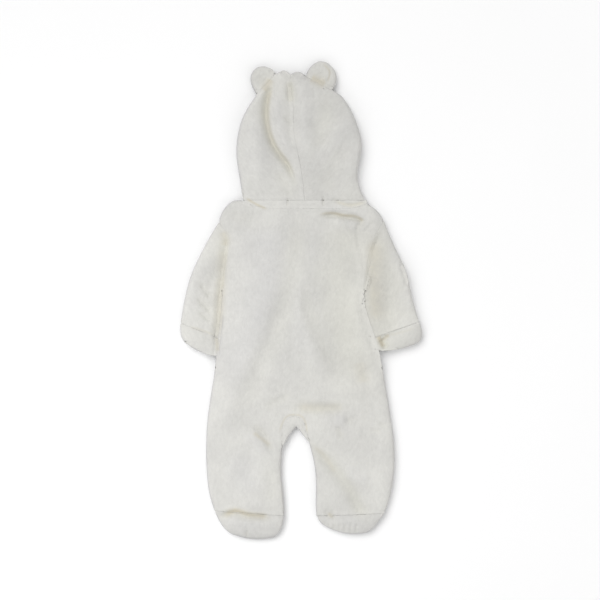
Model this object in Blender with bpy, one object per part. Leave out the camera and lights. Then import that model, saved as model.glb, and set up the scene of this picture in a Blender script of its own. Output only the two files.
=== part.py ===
# A baby's hooded footed suit in short-pile plush, lying face down with its head towards +Y.
# Two layers of plush lie on each other: the fronts below, the back above. Each sewn piece is a
# wall of its own, rounded down to the seam at the outline. Lengths are in millimetres, and
# finish() scales each mesh to metres.

from collections import Counter, namedtuple

import bmesh
import bpy
import numpy as np

# Driving sizes.
CLOTH = 8.0  # plush wall: knitted backing and combed pile
GAP = 0.3  # between pieces that are sewn together, and between the layers
ROUND = 8.0  # how far in from an outline a layer reaches its full height
SEAM_SINK = 0.35  # share of the wall that a seam pulls down
SEAM_WIDTH = 7.0  # how far a seam's dip reaches
FOLD_INSET = 6.0  # from an outline to the fold of the wall's inner side
LAYER = CLOTH + GAP  # floor of the upper layer
STACK = LAYER + CLOTH  # both layers
FULL = 0.99  # share of the height past which a fold also lifts the wall's underside
NEAR_EDGE = (0.0, 1.6, 5.5)  # columns beside an outline, which carry its rounding
EDGE_ROOM = 0.75  # share of the way to the next column that those may take

# The body's side lies over the hidden inner strip of each sleeve.
STRIP_HEIGHT = 6.8  # both layers of the sleeve, pressed under the body
STRIP_REACH = 9.0  # half the strip's width
STRIP_FADE = 20.0  # from the strip to the sleeve's full height
LIFT = 7.3  # height that the body's side gains over the strip
LIFT_FADE = 26.0

# The lapped centre front with its poppers.
LAP = 12.0  # each front passes the centre by this
LAP_STEP = 5.5  # width of the slope where a front thins to its lap
LAP_WALL = 3.85  # each of the two lapped layers
LAP_EDGE = 1.6  # width of the lap's bevelled edge
LEG_COLUMN = 12.0  # innermost column of a leg
CLOSED_COLUMNS = (6.0, 0.65, 0.4, GAP / 2)  # the lap's columns below it, where the fronts meet
PLACKET_RECESS = 1.6
POPPER_COUNT = 6
POPPER_SIDES = 24
POPPER_RADIUS = 5.5
POPPER_HEIGHT = 1.1
POPPER_TOP_Y = 146.0
POPPER_PITCH = 52.0

CREAM = (0.86, 0.85, 0.80, 1.0)
CREAM_INNER = (0.80, 0.78, 0.72, 1.0)
POPPER_WHITE = (0.87, 0.86, 0.83, 1.0)

Fold = namedtuple("Fold", "path width height")

# Neck seam from the left end of the neck band to its right end: x, y.
NECK = ((-103, 178), (-93, 172), (-80, 167.5), (-60, 165.5), (-30, 165), (6, 165),
        (50, 165), (85, 165.5), (105, 168.5), (117, 174))
NECK_PULL = (1.0, 0.75, 0.45, 0.2)  # share of the neck's curve that each row below it keeps
BAND_TOP = 179.7

# The body's rows, shoulder to ankle. Each line is one row: x, y where it meets the side.
LEFT_SIDE = (
    (-103, 178),  # neck
    (-120, 180.5),
    (-134, 171),
    (-145, 154),
    (-148, 140),  # top of the armhole
    (-138, 126),
    (-127, 110),
    (-131, 85),
    (-136, 60),
    (-139, 34),
    (-141, 8),  # underarm
    (-143, -18),
    (-146, -45),
    (-149, -72),
    (-151.5, -100),
    (-156, -135),
    (-162, -172),
    (-165.5, -195),
    (-167, -206),
    (-168.5, -222),
    (-169.5, -235),
    (-170, -250),
    (-170.5, -272),
    (-170, -298),
    (-168, -325),
    (-165, -348),
    (-159.5, -367),
    (-155, -379),  # ankle
)
RIGHT_SIDE = (
    (117, 174),
    (126, 168),
    (136, 160),
    (143, 151),
    (147, 143),
    (137, 125),
    (127, 106),
    (120, 82),
    (116, 56),
    (112, 30),
    (111, 6),
    (115, -20),
    (124, -45),
    (133, -72),
    (141, -100),
    (146.5, -136),
    (153, -174),
    (156.4, -195),
    (158, -206),
    (160, -220),
    (162.5, -234),
    (164.5, -250),
    (166, -272),
    (166, -298),
    (163.5, -325),
    (159.5, -348),
    (153.5, -369),
    (147, -384),
)
# The centre line from the neck to the crotch seam, on the same rows.
CENTRE = (
    (6, 165), (5.6, 158), (5.2, 149), (4.8, 138), (4.4, 126), (4, 113), (3.4, 100), (2.4, 79),
    (1.4, 57), (0.4, 33), (-0.8, 8), (-2, -18), (-3.2, -45), (-4.4, -72), (-5.6, -100),
    (-7, -136), (-8.6, -173), (-9.5, -195), (-10, -207),
)
# Round the crotch gusset, then down the inside of each leg.
LEFT_INSIDE = (
    (-22, -210), (-33, -221), (-37, -241), (-35.5, -264), (-39.5, -292), (-38.5, -320),
    (-35.5, -345), (-33, -370), (-33.5, -388),
)
RIGHT_INSIDE = (
    (-1, -212), (7, -224), (12, -241), (15.5, -256), (24, -288), (28, -316), (28, -343),
    (27, -370), (28.5, -388),
)
ARMHOLE = slice(4, 11)  # rows of the body's side that the sleeve is sewn to
CROTCH_ROW = 18
GUSSET_ROWS = slice(CROTCH_ROW, CROTCH_ROW + 5)

# Sleeves: each row runs from the outer fold to the hidden inner fold: x, y, x, y, bow in x.
LEFT_SLEEVE = (
    (-163, 117, -140.6, -3, 3),
    (-177, 91, -136.5, -12, 3),
    (-190, 65, -133.5, -21, 1),
    (-200, 42, -132.5, -34, 0),
    (-207, 15, -132.5, -47, 0),
    (-213, -13, -133.5, -60, 0),
    (-216.5, -41, -135, -73, 0),
)
RIGHT_SLEEVE = (
    (156, 120, 110, -2, -4),
    (166, 97, 106, -10, -4),
    (178, 74, 104, -18, -1),
    (188, 51, 106, -29, 0),
    (194, 25, 109.5, -41, 0),
    (201, -8, 114, -55, 0),
    (211, -39, 119, -70, 0),
)
# Turned hems, in the same columns, the last being sag in y.
LEFT_CUFF = (
    (-216.6, -41.3, -135, -73.3, 0),
    (-218, -52, -136, -84, -2),
    (-216.5, -64, -137, -93, -4),
    (-212.5, -71.5, -137.6, -97.5, -5.5),
    (-207, -76.5, -138, -100.5, -6.5),
)
RIGHT_CUFF = (
    (211.1, -39.3, 119.1, -70.3, 0),
    (215.7, -51, 122, -77, -1.5),
    (217, -62, 125, -83, -3),
    (214.5, -70, 127.5, -87, -4),
    (209, -75.5, 129.5, -89.5, -5),
)
HEM_EDGE = 4.0  # how far in from the open end the hem's turned edge is rounded
HEM_SHARE = 0.45  # share of the height left at the open end
# Middle of the sleeve strip that lies under the body's side.
LEFT_STRIP = ((-140.5, 4), (-138.5, -18), (-139.5, -45), (-142, -73), (-144, -97))
RIGHT_STRIP = ((108, 2), (109.5, -20), (117, -43), (126, -70), (134, -90))

# The gusset's free edge, round the crotch from the left leg to the right one: x, y.
CROTCH = ((-34.7, -263), (-30, -252), (-21, -241), (-14.5, -232), (-10, -226), (-5, -231),
          (1, -239), (9, -247), (14.2, -255))
GUSSET_GAP = 1.5 * GAP  # at its seam
GUSSET_SHARES = (0, 0.35, 0.65, 0.88, 1.0)  # from its seam to its free edge
GUSSET_INNER_SHARES = (0, 0.2, 0.4, 0.5, 0.6)

# Hood halves, neck to crown: x, y of the outline, x, y of the centre seam, rise of the crown,
# x of the face opening's edge (or of the centre seam above the opening).
LEFT_HOOD = (
    (-104.5, 180, 6, 180, 0, -2),
    (-107, 198, 4, 198, 0, -24),
    (-111, 225, 1, 225, 0, -44),
    (-116, 252, -4, 252, 0, -56),
    (-117, 275, -9, 276, 0, -62),
    (-114, 299, -14, 299, 0, -64),
    (-108, 324, -15, 322, 0, -60),
    (-96, 348, -13, 343, 0, -47),
    (-79, 372, -16, 362, 0, -27),
    (-64, 388, -18, 378, 0, -18),
    (-49, 404.5, -19, 391.5, 1, -19),
    (-43, 408.5, -19.6, 399, 3, -19.6),
    (-38, 411.5, -20, 404.5, 4.8, -20),
)
RIGHT_HOOD = (
    (113, 180, 6, 180, 0, 14),
    (104, 201, 4, 198, 0, 30),
    (98, 225, 1, 225, 0, 43),
    (103, 250, -4, 252, 0, 50),
    (109, 275, -9, 276, 0, 52),
    (105, 299, -14, 299, 0, 49),
    (97, 324, -15, 322, 0, 40),
    (86, 348, -13, 343, 0, 24),
    (71, 370, -16, 362, 0, 0),
    (54, 378, -18, 378, 0, -18),
    (31.5, 389.5, -19, 391.5, 1, -19),
    (9, 401.5, -19.6, 399, 2.5, -19.6),
    (0, 408.5, -20, 404.5, 4.2, -20),
)
CROWN_INSET = (0, 0, 0, 0, 0, 0, 0, 0, 0, 0, 1, 3.5, 6)
HOOD_PUFF = 5.5  # how far the hood's upper layer stands off the lower one
HOOD_EDGE_FADE = 20.0

# Feet: from the ankle seam to the toe: outer x, y, inner x, y, sag.
LEFT_FOOT = (
    (-154.9, -379.3, -33.5, -388.3, 0),
    (-150, -393, -34.3, -398, -1),
    (-142, -406, -36.5, -408, -2),
    (-134, -414, -40.5, -416, -4),
    (-129, -417.5, -45, -421, -5.5),
    (-124, -420.5, -50, -425.5, -6),
)
RIGHT_FOOT = (
    (146.8, -384.3, 28.6, -388.3, 0),
    (141, -393.5, 31, -393.5, -3),
    (135.5, -401, 34, -398.5, -6),
    (129, -408.5, 38.5, -402.5, -7.5),
    (124, -413, 43.5, -405.5, -8),
    (119.5, -416.5, 49, -408.5, -7.5),
)
TOE_INSET = (0, 0, 0, 1, 3.5, 6)

# Ears: base to tip: x, y, x, y, bow outwards.
LEFT_EAR = (
    (-79.3, 372.3, -49.3, 404.3, 0),
    (-87, 384, -50, 412.5, 0),
    (-91, 396, -56, 417.5, 1),
    (-90, 406, -64, 420, 1.5),
    (-87, 411.5, -69.5, 420.5, 1.5),
    (-84, 414.5, -74, 420, 1.5),
)
RIGHT_EAR = (
    (54.2, 378.4, 9.2, 401.4, 0),
    (61, 392, 11.5, 413, 0),
    (62, 405, 19.5, 423, 1),
    (58, 415.5, 28, 429, 1.5),
    (54, 420, 34, 430, 1.5),
    (50, 423, 40, 429, 1.5),
)
EAR_CLOTH = 7.0
EAR_PUFF = 2.5

# Largest folds of each upper layer: the path of its middle, half width, height (a trough is
# negative).
BACK_FOLDS = (
    Fold(((-96, 120), (-106, 20), (-116, -90), (-124, -190)), 30, 4.5),
    Fold(((84, 120), (82, 20), (92, -60), (108, -150), (120, -230)), 24, 3.5),
    Fold(((2, 60), (-6, -60), (-14, -130)), 26, 3.5),
    Fold(((-33, 0), (-57, -50), (-72, -85), (-84, -120), (-94, -170), (-98, -200)), 13, -4),
    Fold(((15, 54), (30, -36), (51, -90), (60, -118)), 20, -2.5),
    Fold(((51, 158), (78, 154), (112, 147)), 9, -6),
    Fold(((60, 168), (100, 160), (126, 150)), 10, 3.5),
    Fold(((-3, -192), (36, -194), (76, -190)), 12, -3.5),
    Fold(((-60, -181), (-40, -168), (-12, -162)), 12, -2),
    Fold(((-84, -226), (-64, -240), (-52, -262)), 10, -4),
    Fold(((24, -270), (44, -290), (68, -318), (86, -345), (100, -370)), 13, -4.5),
    Fold(((78, -312), (114, -322)), 16, 3.5),
    Fold(((-132, -300), (-90, -310), (-80, -350)), 34, 3),
)
HOOD_FOLDS = (
    Fold(((-88, 330), (-92, 270), (-80, 215)), 30, 3.5),
    Fold(((-68, 358), (-66, 333), (-62, 306), (-52, 279), (-36, 254), (-22, 238)), 11, -11),
    Fold(((-44, 350), (-40, 310), (-28, 275)), 15, 3.5),
    Fold(((-2, 372), (0, 330), (4, 280), (8, 230)), 13, 3.5),
    Fold(((24, 372), (19, 330), (20, 288)), 14, -4),
    Fold(((92, 320), (60, 280), (20, 246)), 18, 3),
    Fold(((78, 280), (57, 250), (42, 215), (34, 192)), 14, -4.5),
    Fold(((-21, 388), (-20, 362)), 8, -6),
)
LEFT_SLEEVE_FOLDS = (
    Fold(((-192, 60), (-200, 0), (-190, -60)), 26, 4),
    Fold(((-138, 110), (-146, 60), (-152, 0), (-154, -60)), 14, -4),
)
RIGHT_SLEEVE_FOLDS = (
    Fold(((172, 70), (190, 10), (196, -50)), 20, 4),
    Fold(((132, 108), (138, 63), (156, 36), (160, 5), (156, -50)), 16, -5),
)


def path_distance(points, path):
    """Distance from each point to the nearest place on a path."""
    ends = np.asarray(path, float)
    starts, along = ends[:-1], np.diff(ends, axis=0)
    offset = points[..., None, :] - starts
    share = (offset * along).sum(axis=-1) / np.maximum((along**2).sum(axis=-1), 1e-9)
    nearest = offset - np.clip(share, 0, 1)[..., None] * along
    return np.sqrt((nearest**2).sum(axis=-1)).min(axis=-1)


def round_rise(distance, reach):
    """Quarter round: 0 on the outline, 1 from the reach inwards."""
    inward = 1 - np.clip(distance / reach, 0, 1)
    return np.sqrt(1 - inward**2)


def smooth_step(value):
    value = np.clip(value, 0, 1)
    return value * value * (3 - 2 * value)


def fullness(points, outlines, seams):
    """Share of the wall's height at each point: none on an outline, a little less at a seam."""
    share = np.ones(points.shape[:-1])
    for path in outlines:
        share = np.minimum(share, round_rise(path_distance(points, path), ROUND))
    for path in seams:
        rise = round_rise(path_distance(points, path), SEAM_WIDTH)
        share = np.minimum(share, 1 - SEAM_SINK * (1 - rise))
    return share


def relief(points, folds):
    """Height that the folds add at each point."""
    height = np.zeros(points.shape[:-1])
    for fold in folds:
        across = path_distance(points, fold.path) / fold.width
        height += fold.height * np.exp(-(across**2))
    return height


def strip_lift(points):
    """How far the body's sides are lifted by the sleeve strips below them."""
    near = np.minimum(path_distance(points, LEFT_STRIP), path_distance(points, RIGHT_STRIP))
    return LIFT * (1 - smooth_step((near - STRIP_REACH) / LIFT_FADE))


def spread(length, shares, edge_start, edge_end):
    """Places along a row: set distances beside both ends, and shares of its length between.
    The set distances shrink on a row that is too short for them."""
    inner = [length * share for share in shares]
    room_start, room_end = EDGE_ROOM * inner[0], EDGE_ROOM * (length - inner[-1])
    start_scale = min(1, room_start / edge_start[-1]) if edge_start[-1] else 1
    end_scale = min(1, room_end / edge_end[-1]) if edge_end[-1] else 1
    start = [place * start_scale for place in edge_start]
    end = [length - place * end_scale for place in reversed(edge_end)]
    return np.array([*start, *inner, *end])


def row_places(start, end, shares, edge_start=NEAR_EDGE, edge_end=NEAR_EDGE, bow=(0.0, 0.0)):
    """Points of one row, straight or bowed to one side."""
    start, end = np.asarray(start, float), np.asarray(end, float)
    length = np.linalg.norm(end - start)
    share = (spread(length, shares, edge_start, edge_end) / length)[:, None]
    return start + (end - start) * share + 4 * share * (1 - share) * np.asarray(bow, float)


def with_height(points, height):
    return np.dstack([points, np.broadcast_to(height, points.shape[:-1])])


def wall(outer, inner, around=False, folded_end=False):
    """Triangles of a closed wall between two grids of points. around joins the last column to
    the first, and folded_end leaves the last row to meet itself."""
    rows, columns = outer.shape[:2]
    triangles = []

    def quad(a, b, c, d):
        triangles.extend([(a, b, c), (a, c, d)])

    spans = range(columns if around else columns - 1)
    for row in range(rows - 1):
        for column in spans:
            right = (column + 1) % columns
            for grid in (outer, inner):
                quad(grid[row, column], grid[row, right], grid[row + 1, right],
                     grid[row + 1, column])
        for column in () if around else (0, columns - 1):
            quad(outer[row, column], outer[row + 1, column], inner[row + 1, column],
                 inner[row, column])
    for row in (0,) if folded_end else (0, rows - 1):
        for column in spans:
            right = (column + 1) % columns
            quad(outer[row, column], outer[row, right], inner[row, right], inner[row, column])
    return triangles


def cloth_material(name, colour, roughness=0.95):
    material = bpy.data.materials.new(name)
    material.use_nodes = True
    shader = material.node_tree.nodes["Principled BSDF"]
    shader.inputs["Base Color"].default_value = colour
    shader.inputs["Roughness"].default_value = roughness
    shader.inputs["Metallic"].default_value = 0.0
    return material


def finish(triangles, name, colour=CREAM):
    """Joins triangles at shared points, drops pairs that lie on each other, as where two walls
    continue each other, and makes an object in metres with its faces outwards."""
    numbers = {}
    faces = Counter()
    for triangle in triangles:
        keys = [tuple(np.round(point, 3) + 0.0) for point in triangle]
        face = tuple(sorted(numbers.setdefault(key, len(numbers)) for key in keys))
        if len(set(face)) == 3:
            faces[face] += 1
    data = bpy.data.meshes.new(name)
    points = np.array(list(numbers)) * 0.001
    data.from_pydata(points.tolist(), [], [face for face, count in faces.items() if count == 1])
    mesh = bmesh.new()
    mesh.from_mesh(data)
    bmesh.ops.delete(mesh, geom=[v for v in mesh.verts if not v.link_faces], context="VERTS")
    bmesh.ops.recalc_face_normals(mesh, faces=mesh.faces)
    mesh.to_mesh(data)
    mesh.free()
    data.shade_smooth()
    data.materials.append(cloth_material(name, colour))
    item = bpy.data.objects.new(name, data)
    bpy.context.collection.objects.link(item)


BODY_SHARES = (0.12, 0.27, 0.44, 0.61, 0.78)


def neck_height(x):
    return np.interp(x, *np.transpose(NECK))


def body_row(row, side, inside, edge_end=NEAR_EDGE):
    """One row of half the body, curved like the neck where it is near to it."""
    places = row_places(side[row], inside[row], BODY_SHARES, edge_end=edge_end)
    if row < len(NECK_PULL):
        first = row_places(side[0], inside[0], BODY_SHARES, edge_end=edge_end)
        places[:, 1] += NECK_PULL[row] * (neck_height(first[:, 0]) - first[:, 1])
    return places


def body_edges():
    """Outlines and seams round the whole body, for its rounding."""
    outlines, seams = [], [NECK]
    for side, legs in ((LEFT_SIDE, LEFT_INSIDE), (RIGHT_SIDE, RIGHT_INSIDE)):
        inside = CENTRE + legs
        outlines += [side[: ARMHOLE.start + 1], side[ARMHOLE.stop - 1 :]]
        outlines += [inside[GUSSET_ROWS.stop - 1 :]]
        seams += [side[ARMHOLE], inside[GUSSET_ROWS], (side[-1], inside[-1])]
    return outlines, seams


def make_back():
    triangles = []
    for side, legs in ((LEFT_SIDE, LEFT_INSIDE), (RIGHT_SIDE, RIGHT_INSIDE)):
        inside = CENTRE + legs
        points = np.array([body_row(row, side, inside) for row in range(len(side))])
        share = fullness(points, *body_edges())
        fold = relief(points, BACK_FOLDS)
        floor = strip_lift(points) + LAYER
        inner_rise = np.maximum(fold, 0) * smooth_step(2 * share - 1)
        outer = with_height(points, floor + (CLOTH + fold) * share)
        inner = with_height(points, floor + inner_rise * (share > FULL))
        triangles += wall(outer, inner)
    finish(triangles, "back")


def make_front(name, side, legs, upper_lap):
    """One front. Its lap lies on the other front's lap, or under it with the poppers."""
    inside = CENTRE + legs
    away = np.sign(CENTRE[0][0] - side[0][0])
    lap_columns = np.array([-LAP - LAP_STEP, -LAP - GAP, LAP - LAP_EDGE, LAP])
    closed_columns = -np.array(CLOSED_COLUMNS)
    leg_columns = (*NEAR_EDGE, LEG_COLUMN)
    grid = []
    for row in range(len(side)):
        places = body_row(row, side, inside, edge_end=leg_columns)
        if row < CROTCH_ROW:
            columns = lap_columns if row < CROTCH_ROW - 1 else closed_columns
            places[-4:, 0] = inside[row][0] + away * columns
            places[-4:, 1] = inside[row][1]
        if row == CROTCH_ROW:
            places[-1, 0] -= away * GAP / 2
        grid.append(places)
    points = np.array(grid)
    share = fullness(points, *body_edges())
    top = strip_lift(points) + CLOTH
    bottom = top - CLOTH * share
    lapped = slice(0, CROTCH_ROW)
    if upper_lap:
        bottom[lapped, -3:] = CLOTH - LAP_WALL
    else:
        top[lapped, -3:] = LAP_WALL
        bottom[: CROTCH_ROW - 1, -3:-1] = PLACKET_RECESS
        bottom[: CROTCH_ROW - 1, -1] = PLACKET_RECESS / 2
    finish(wall(with_height(points, bottom), with_height(points, top)), name)


def make_poppers():
    """Press studs, closed: their caps lie in the recess of the lap."""
    rows = sorted((y, x) for x, y in CENTRE)
    top = PLACKET_RECESS - GAP
    for number in range(POPPER_COUNT):
        y = POPPER_TOP_Y - number * POPPER_PITCH
        x = np.interp(y, *np.transpose(rows))
        bpy.ops.mesh.primitive_cylinder_add(
            vertices=POPPER_SIDES, radius=POPPER_RADIUS * 0.001, depth=POPPER_HEIGHT * 0.001,
            location=(x * 0.001, y * 0.001, (top - POPPER_HEIGHT / 2) * 0.001))
        cap = bpy.context.object
        cap.name = f"popper_{number + 1}"
        cap.data.materials.append(cloth_material(cap.name, POPPER_WHITE, roughness=0.4))
        bpy.ops.object.transform_apply(location=True)


def ring(points, inset_points, height, fold, outline_share, inset_share):
    """Outer and inner grids of a flattened tube: the upper side, then the lower side back."""
    middle = height / 2
    rise = np.maximum(fold, 0) * inset_share
    upper = with_height(points, middle + (middle + fold) * outline_share)
    lower = with_height(points, middle - middle * outline_share)
    slot = GAP / 2 * (inset_share > 0)
    inset_upper = with_height(inset_points, middle + slot + rise)
    inset_lower = with_height(inset_points, middle - slot)
    outer = np.concatenate([upper, lower[:, -2:0:-1]], axis=1)
    inner = np.concatenate([inset_upper, inset_lower[:, -2:0:-1]], axis=1)
    return outer, inner


def inset_row(places):
    """The same row, with its ends moved in to the fold of the wall's inner side."""
    steps = np.linalg.norm(np.diff(places, axis=0), axis=1)
    travel = np.concatenate([[0], np.cumsum(steps)])
    kept = travel.copy()
    kept[: len(NEAR_EDGE)] = FOLD_INSET
    kept[-len(NEAR_EDGE) :] = travel[-1] - FOLD_INSET
    return np.column_stack([np.interp(kept, travel, places[:, axis]) for axis in (0, 1)])


def end_share(count, columns):
    """1 inside a row, 0 on the columns that are clamped to the fold."""
    share = np.ones((count, columns))
    clamped = len(NEAR_EDGE)
    share[:, :clamped] = 0
    share[:, -clamped:] = 0
    return share


def make_sleeve(side_name, armhole, rows, cuff_rows, strip, folds):
    """A sleeve and its turned hem: tubes laid flat, thin where they lie under the body."""
    shoulder = np.asarray(armhole, float)
    away = -1 if side_name == "left" else 1
    steps = np.concatenate([[0], np.cumsum(np.linalg.norm(np.diff(shoulder, axis=0), axis=1))])
    shares = steps[1:-1] / steps[-1]
    travel = spread(steps[-1], shares, NEAR_EDGE, NEAR_EDGE)
    first = np.column_stack([np.interp(travel, steps, shoulder[:, axis]) for axis in (0, 1)])
    first[:, 0] += away * GAP
    grid = [first]
    for row in rows:
        grid.append(row_places(row[:2], row[2:4], shares, bow=(row[4], 0)))
    hem = [row_places(row[:2], row[2:4], shares, bow=(0, row[4])) for row in cuff_rows]
    outer_path = [armhole[0], *(row[:2] for row in rows), *(row[:2] for row in cuff_rows)]
    inner_path = [armhole[-1], *(row[2:4] for row in rows), *(row[2:4] for row in cuff_rows)]
    hem_seam = (rows[-1][:2], rows[-1][2:4])
    for name, lines, seams in (("sleeve", grid, (armhole, hem_seam)), ("cuff", hem, (hem_seam,))):
        points = np.array(lines)
        near = path_distance(points, strip)
        clear = smooth_step((near - STRIP_REACH) / STRIP_FADE)
        height = STRIP_HEIGHT + (STACK - STRIP_HEIGHT) * clear
        share = fullness(points, (outer_path, inner_path), seams)
        if name == "cuff":
            turned = round_rise(path_distance(points, lines[-1]), HEM_EDGE)
            share = share * (HEM_SHARE + (1 - HEM_SHARE) * turned)
        share[:, 0] = 0
        share[:, -1] = 0
        fold = relief(points, folds) * clear
        inset = np.array([inset_row(line) for line in lines])
        outer, inner = ring(points, inset, height, fold, share, end_share(*points.shape[:2]))
        finish(wall(outer, inner, around=True), f"{name}_{side_name}")


HOOD_SHARES = (0.14, 0.27, 0.4, 0.53, 0.68, 0.84)
SEAM_EDGE = (0.0,)


def make_hood(side_name, rows):
    """Half a hood: from the centre seam round the side fold to the face opening's edge."""
    toward = 1 if side_name == "left" else -1
    gap = toward * GAP / 2
    back, front, back_in, front_in = [], [], [], []
    for row, inset in zip(rows, CROWN_INSET):
        side = np.array(row[:2], float)
        seam = np.array([row[2] - gap, row[3]])
        share = (row[5] - row[0]) / (row[2] - row[0])
        face = np.array([row[5] - gap, row[1] + (row[3] - row[1]) * share])
        crown = (0, row[4])
        lower = np.array([0, inset])
        step = np.array([toward * FOLD_INSET, 0])
        face_crown = (0, row[4] * (1 if row[5] == row[2] else 0))
        back.append(row_places(side, seam, HOOD_SHARES, edge_end=SEAM_EDGE, bow=crown))
        front.append(row_places(side, face, HOOD_SHARES, edge_end=SEAM_EDGE, bow=face_crown))
        back_in.append(row_places(side + step - lower, seam - lower, HOOD_SHARES,
                                  edge_end=SEAM_EDGE, bow=crown))
        front_in.append(row_places(side + step - lower, face - lower, HOOD_SHARES,
                                   edge_end=SEAM_EDGE, bow=face_crown))
    back, front, back_in, front_in = map(np.array, (back, front, back_in, front_in))
    outline = [row[:2] for row in rows] + [tuple(point) for point in back[-1]]
    seam_line = [row[2:4] for row in rows]
    neck = (rows[0][:2], rows[0][2:4])
    middle = LAYER - GAP / 2
    share = fullness(back, (outline,), (seam_line, neck))
    front_share = fullness(front, (outline,), (neck,))
    for table in (share, front_share):
        table[:, 0] = 0
        table[-1] = 0
    fold = relief(back, HOOD_FOLDS) + HOOD_PUFF
    inner_fold = np.maximum(relief(back_in, HOOD_FOLDS) + HOOD_PUFF, 0)
    calm = smooth_step((path_distance(back_in, outline) - FOLD_INSET) / HOOD_EDGE_FADE)
    slot = GAP / 2 + inner_fold * calm
    front_slot = np.full(front_in.shape[:2], GAP / 2)
    for table in (slot, front_slot):
        table[:, 0] = 0
        table[-1] = 0
    outer = np.concatenate([
        with_height(back, middle + (middle + fold) * share)[:, ::-1],
        with_height(front, middle - middle * front_share)[:, 1:],
    ], axis=1)
    inner = np.concatenate([
        with_height(back_in, middle + slot)[:, ::-1],
        with_height(front_in, middle - front_slot)[:, 1:],
    ], axis=1)
    finish(wall(outer, inner, folded_end=True), f"hood_{side_name}")


FOOT_SHARES = (0.16, 0.33, 0.5, 0.67, 0.84)


def make_foot(side_name, rows):
    """A closed foot: a flat pocket from the ankle seam, folded round at the toe."""
    points = np.array([row_places(row[:2], row[2:4], FOOT_SHARES, bow=(0, row[4])) for row in rows])
    inset = np.array([
        inset_row(line) + (0, lift) for line, lift in zip(points, TOE_INSET)
    ])
    outline = [row[:2] for row in rows] + [tuple(p) for p in points[-1]]
    outline += [row[2:4] for row in reversed(rows)]
    ankle = (rows[0][:2], rows[0][2:4])
    share = fullness(points, (outline,), (ankle,))
    share[:, 0] = 0
    share[:, -1] = 0
    share[-1] = 0
    inset_share = end_share(*points.shape[:2])
    inset_share[-1] = 0
    fold = np.zeros(points.shape[:2])
    outer, inner = ring(points, inset, np.full(points.shape[:2], STACK), fold, share, inset_share)
    finish(wall(outer, inner, around=True, folded_end=True), f"foot_{side_name}")


EAR_SHARES = (0.36, 0.64)


def make_ear(side_name, rows):
    """Two pieces for each ear, seamed round its edge: the outer one is up."""
    sign = -1 if side_name == "left" else 1
    lines = []
    for row in rows:
        start, end = np.array(row[:2]), np.array(row[2:4])
        along = (end - start) / np.linalg.norm(end - start)
        outwards = np.array([-along[1], along[0]]) * -sign
        lines.append(row_places(start, end, EAR_SHARES, bow=outwards * row[4]))
    points = np.array(lines)
    outline = [row[:2] for row in rows] + [tuple(p) for p in points[-1]]
    outline += [row[2:4] for row in reversed(rows)]
    base = (rows[0][:2], rows[0][2:4])
    share = fullness(points, (outline,), (base,))
    share[:, 0] = 0
    share[:, -1] = 0
    share[-1] = 0
    for piece, floor, rise in (("outer", LAYER, EAR_CLOTH + EAR_PUFF), ("inner", CLOTH, -EAR_CLOTH)):
        piece_wall = wall(with_height(points, floor + rise * share), with_height(points, floor))
        finish(piece_wall, f"ear_{side_name}_{piece}", CREAM if piece == "outer" else CREAM_INNER)


def make_gusset():
    """A small crescent folded round the crotch edge, sewn to the back and both fronts."""
    left = CENTRE[-1:] + LEFT_INSIDE[:4]
    right = CENTRE[-1:] + RIGHT_INSIDE[:4]
    arc = np.array([*left[::-1], *right[1:]], float)
    edge = np.array(CROTCH, float)
    inward = edge - arc
    reach = np.linalg.norm(inward, axis=1)[:, None]
    arc = arc + inward / reach * GUSSET_GAP
    shares = np.array(GUSSET_SHARES)
    points = arc[:, None] + (edge - arc)[:, None] * shares[None, :, None]
    width = np.linalg.norm(edge - arc, axis=1)
    rounding = round_rise((1 - shares)[None, :] * width[:, None], ROUND)
    start_dip = 1 - SEAM_SINK * (1 - round_rise(shares[None, :] * width[:, None], SEAM_WIDTH))
    share = np.minimum(rounding, start_dip)
    middle = LAYER - GAP / 2
    inner_shares = np.array(GUSSET_INNER_SHARES)
    inner_points = arc[:, None] + (edge - arc)[:, None] * inner_shares[None, :, None]
    slot = np.full(share.shape, GAP / 2)
    slot[:, -1] = 0
    outer = np.concatenate([with_height(points, middle + middle * share),
                            with_height(points, middle - middle * share)[:, -2::-1]], axis=1)
    inner = np.concatenate([with_height(inner_points, middle + slot),
                            with_height(inner_points, middle - slot)[:, -2::-1]], axis=1)
    finish(wall(outer, inner), "gusset")


def make_neck_band():
    """A narrow casing between hood and body, round both layers, open at the centre front."""
    halves = []
    for side in (LEFT_SIDE, RIGHT_SIDE):
        halves.append(body_row(0, side, CENTRE)[:, 0])
    left, right = halves
    middle = LAYER - GAP / 2
    front_left = np.append(left[:-1], CENTRE[0][0] - GAP)[::-1]
    front_right = np.append(right[:-1], CENTRE[0][0] + GAP)
    stations = [(x, -1) for x in front_left[:-1]] + [(left[0], 0)]
    stations += [(x, 1) for x in left[1:]] + [(x, 1) for x in right[-2:0:-1]]
    stations += [(right[0], 0)] + [(x, -1) for x in front_right[1:]]
    outline_left, outline_right = left[0], right[0]
    outer, inner = [], []
    for x, layer in stations:
        low = neck_height(x) + GAP
        depth = min(x - outline_left, outline_right - x)
        rise = round_rise(np.array(depth), ROUND)
        inside = np.clip(x, outline_left + FOLD_INSET, outline_right - FOLD_INSET)
        slot = layer * GAP / 2 * (abs(inside - x) < 1e-6)
        outer_line, inner_line = [], []
        for across, sink in ((0, SEAM_SINK), (0.5, 0), (1, SEAM_SINK)):
            y = low + (BAND_TOP - low) * across
            inner_low = neck_height(inside) + GAP
            inner_y = inner_low + (BAND_TOP - inner_low) * across
            outer_line.append((x, y, middle + layer * middle * rise * (1 - sink)))
            inner_line.append((inside, inner_y, middle + slot))
        outer.append(outer_line)
        inner.append(inner_line)
    finish(wall(np.array(outer), np.array(inner)), "neck_band")


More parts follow.
